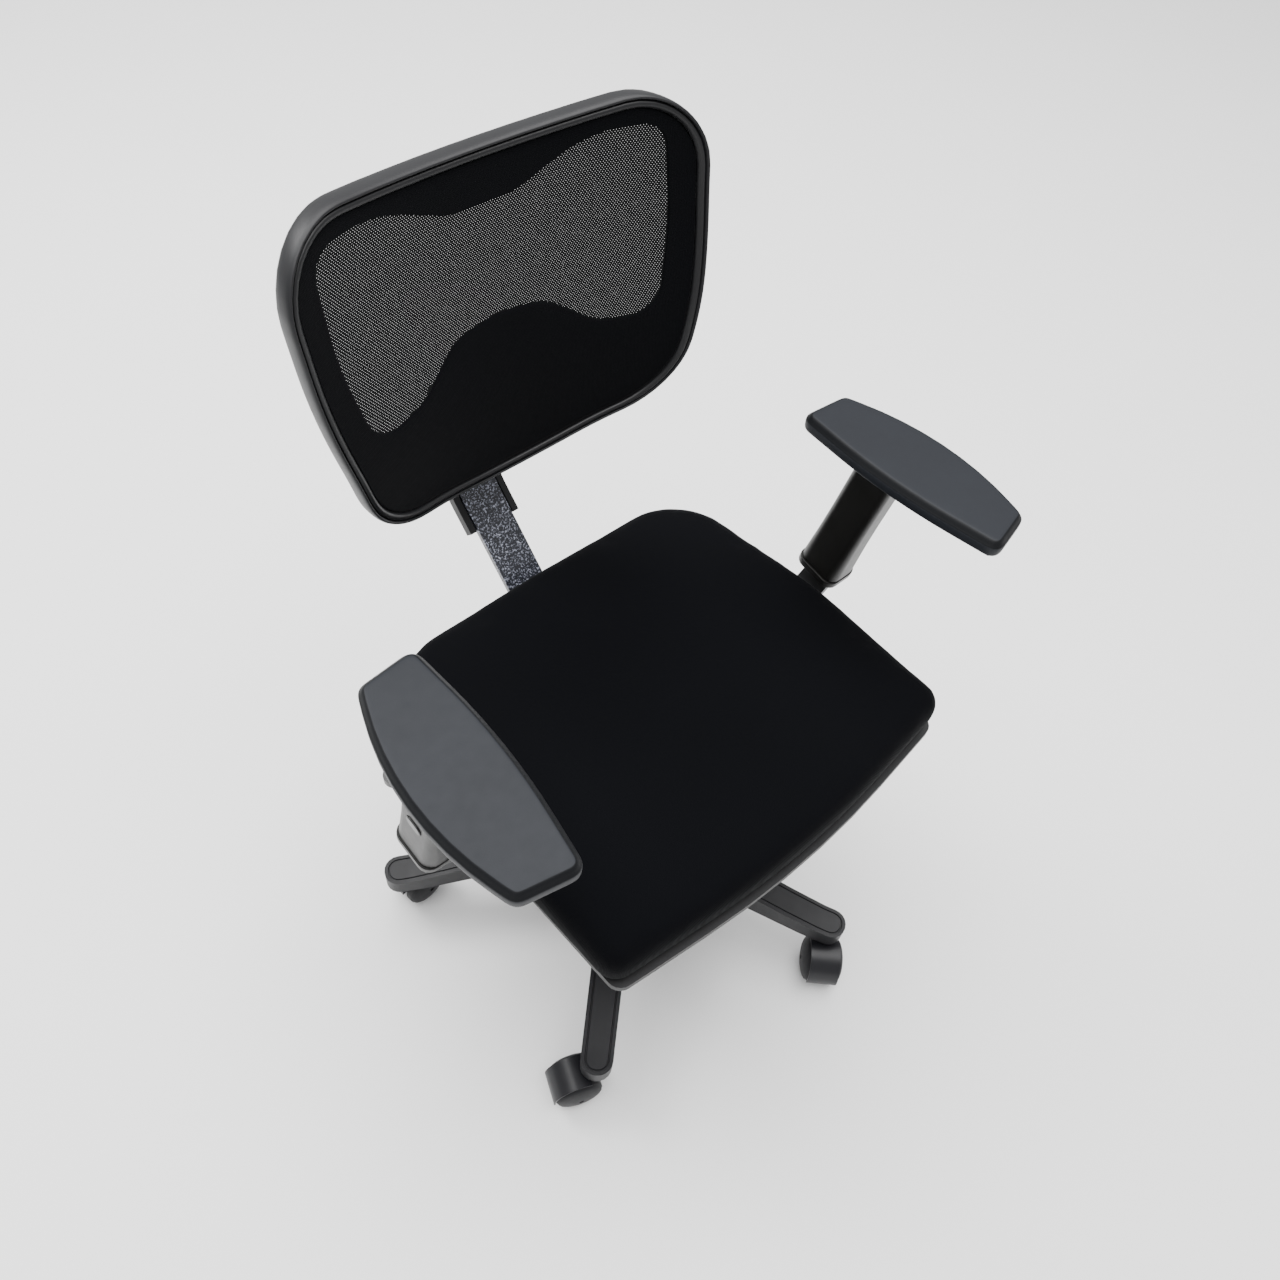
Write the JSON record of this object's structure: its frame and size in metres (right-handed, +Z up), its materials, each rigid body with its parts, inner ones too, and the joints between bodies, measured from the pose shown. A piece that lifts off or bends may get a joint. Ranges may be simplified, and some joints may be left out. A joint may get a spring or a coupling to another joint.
{
  "type": "swivel office chair",
  "caption": "Swivel office chair with a padded seat, mesh-backed rest on a flat steel bar, height-adjusting arms and a castor base.",
  "frame": {"origin": "on the floor, on the axis of the gas column", "axes": "+Z up, front of the seat towards -Y, +X towards the sitter's left"},
  "size_m": [0.7027, 0.6911, 0.9619],
  "materials": {
    "nylon": "satin",
    "castor_plastic": "satin",
    "plain_steel": "satin",
    "bright_rod": "polished",
    "tube_paint": "satin",
    "bush_plastic": "satin",
    "stop_rubber": "matte",
    "mech_paint": "satin",
    "handle_plastic": "satin",
    "pan_plastic": "matte",
    "seat_fabric": "woven",
    "back_fabric": "mesh",
    "frame_plastic": "satin",
    "bead_plastic": "satin",
    "carrier_plastic": "satin",
    "hammer_paint": "hammered",
    "spring_steel": "oiled",
    "bolt_steel": "satin",
    "arm_plastic": "satin",
    "button_plastic": "satin",
    "pad_soft": "matte"
  },
  "bodies": {
    "base": {"star_base": "nylon", "castor_stems": "plain_steel", "column_tube": "tube_paint", "column_bush": "bush_plastic", "thrust_bearing": "plain_steel"},
    "rod": {"piston_rod": "bright_rod", "bump_stop": "stop_rubber", "retaining_clip": "spring_steel"},
    "column": {"gas_cylinder": "bright_rod", "cylinder_gland": "stop_rubber", "mech_housing": "mech_paint", "tilt_axle": "plain_steel", "lever_pivot": "plain_steel", "tension_spring": "spring_steel"},
    "pin": {"release_pin": "bright_rod"},
    "lever": {"lever_arm": "handle_plastic", "lever_paddle": "handle_plastic"},
    "seat": {"tilt_plate": "mech_paint", "seat_pan": "pan_plastic", "seat_cushion": "seat_fabric", "seat_bolts": "bolt_steel", "tension_bolt": "plain_steel", "back_bar": "hammer_paint", "bar_cover": "carrier_plastic", "arm_bracket_left": "mech_paint", "arm_bracket_right": "mech_paint", "arm_collar_left": "arm_plastic", "arm_collar_right": "arm_plastic"},
    "knob": {"tension_knob": "handle_plastic"},
    "arm_left": {"arm_sleeve_left": "arm_plastic", "pad_plate_left": "pan_plastic", "arm_pad_left": "pad_soft"},
    "button_left": {"arm_button_left": "button_plastic"},
    "arm_right": {"arm_sleeve_right": "arm_plastic", "pad_plate_right": "pan_plastic", "arm_pad_right": "pad_soft"},
    "button_right": {"arm_button_right": "button_plastic"},
    "back": {"back_frame": "frame_plastic", "back_bead": "bead_plastic", "back_panel": "back_fabric", "lumbar_pad": "back_fabric", "back_carrier": "carrier_plastic", "back_screws": "bolt_steel"},
    "back_clamp": {"back_knob": "handle_plastic"},
    "castor_1": {"castor_hood_1": "castor_plastic"},
    "wheels_1": {"castor_wheels_1": "castor_plastic", "castor_axle_1": "plain_steel"},
    "castor_2": {"castor_hood_2": "castor_plastic"},
    "wheels_2": {"castor_wheels_2": "castor_plastic", "castor_axle_2": "plain_steel"},
    "castor_3": {"castor_hood_3": "castor_plastic"},
    "wheels_3": {"castor_wheels_3": "castor_plastic", "castor_axle_3": "plain_steel"},
    "castor_4": {"castor_hood_4": "castor_plastic"},
    "wheels_4": {"castor_wheels_4": "castor_plastic", "castor_axle_4": "plain_steel"},
    "castor_5": {"castor_hood_5": "castor_plastic"},
    "wheels_5": {"castor_wheels_5": "castor_plastic", "castor_axle_5": "plain_steel"}
  },
  "joints": [
    {"name": "swivel", "type": "hinge", "parent": "base", "child": "rod", "pos_m": [0, 0, 0.08], "axis": [0, 0, 1], "continuous": true},
    {"name": "height", "type": "slide", "parent": "rod", "child": "column", "axis": [0, 0, 1], "range_m": [0, 0.1]},
    {"name": "lever_hinge", "type": "hinge", "parent": "column", "child": "lever", "pos_m": [-0.051, 0, 0.392], "axis": [0, 1, 0], "range_deg": [0, 4.5], "stiffness_Nm_per_rad": 1, "springref_deg": -5.73},
    {"name": "pin_slide", "type": "slide", "parent": "column", "child": "pin", "axis": [0, 0, -1], "range_m": [0, 0.004]},
    {"name": "tilt", "type": "hinge", "parent": "column", "child": "seat", "pos_m": [0, 0.026, 0.385], "axis": [-1, 0, 0], "range_deg": [0, 10], "stiffness_Nm_per_rad": 120, "springref_deg": -8.59, "deforming": ["tension_spring"]},
    {"name": "tension_turn", "type": "hinge", "parent": "seat", "child": "knob", "pos_m": [0, -0.062, 0.283], "axis": [0, 0, 1], "range_deg": [-360, 360]},
    {"name": "back_slide", "type": "slide", "parent": "seat", "child": "back", "axis": [0, 0.0698, 0.9976], "range_m": [0, 0.06]},
    {"name": "clamp_turn", "type": "hinge", "parent": "back", "child": "back_clamp", "pos_m": [0, 0.32787, 0.5973], "axis": [0, 0.9976, -0.0698], "range_deg": [-360, 360]},
    {"name": "arm_slide_left", "type": "slide", "parent": "seat", "child": "arm_left", "axis": [0, -0.165, 0.9863], "range_m": [0, 0.07]},
    {"name": "button_push_left", "type": "slide", "parent": "arm_left", "child": "button_left", "axis": [-1, 0, 0], "range_m": [0, 0.003], "stiffness_N_per_m": 400, "springref_m": -0.002},
    {"name": "arm_slide_right", "type": "slide", "parent": "seat", "child": "arm_right", "axis": [0, -0.165, 0.9863], "range_m": [0, 0.07]},
    {"name": "button_push_right", "type": "slide", "parent": "arm_right", "child": "button_right", "axis": [1, 0, 0], "range_m": [0, 0.003], "stiffness_N_per_m": 400, "springref_m": -0.002},
    {"name": "castor_turn_1", "type": "hinge", "parent": "base", "child": "castor_1", "pos_m": [0.12848, -0.27552, 0.055], "axis": [0, 0, 1], "continuous": true},
    {"name": "wheel_roll_1", "type": "hinge", "parent": "castor_1", "child": "wheels_1", "pos_m": [0.10977, -0.29358, 0.03], "axis": [0.6947, -0.7193, 0], "continuous": true},
    {"name": "castor_turn_2", "type": "hinge", "parent": "base", "child": "castor_2", "pos_m": [-0.22233, -0.20733, 0.055], "axis": [0, 0, 1], "continuous": true},
    {"name": "wheel_roll_2", "type": "hinge", "parent": "castor_2", "child": "wheels_2", "pos_m": [-0.24644, -0.19759, 0.03], "axis": [-0.3746, -0.9272, 0], "continuous": true},
    {"name": "castor_turn_3", "type": "hinge", "parent": "base", "child": "castor_3", "pos_m": [-0.26588, 0.14738, 0.055], "axis": [0, 0, 1], "continuous": true},
    {"name": "wheel_roll_3", "type": "hinge", "parent": "castor_3", "child": "wheels_3", "pos_m": [-0.24014, 0.151, 0.03], "axis": [-0.1392, 0.9903, 0], "continuous": true},
    {"name": "castor_turn_4", "type": "hinge", "parent": "base", "child": "castor_4", "pos_m": [0.05801, 0.29841, 0.055], "axis": [0, 0, 1], "continuous": true},
    {"name": "wheel_roll_4", "type": "hinge", "parent": "castor_4", "child": "wheels_4", "pos_m": [0.07101, 0.32093, 0.03], "axis": [-0.866, 0.5, 0], "continuous": true},
    {"name": "castor_turn_5", "type": "hinge", "parent": "base", "child": "castor_5", "pos_m": [0.30173, 0.03705, 0.055], "axis": [0, 0, 1], "continuous": true},
    {"name": "wheel_roll_5", "type": "hinge", "parent": "castor_5", "child": "wheels_5", "pos_m": [0.32425, 0.02405, 0.03], "axis": [0.5, 0.866, 0], "continuous": true}
  ],
  "couplings": [
    {"joint": "pin_slide", "follows": "lever_hinge", "m_per_rad": 0.0478}
  ]
}
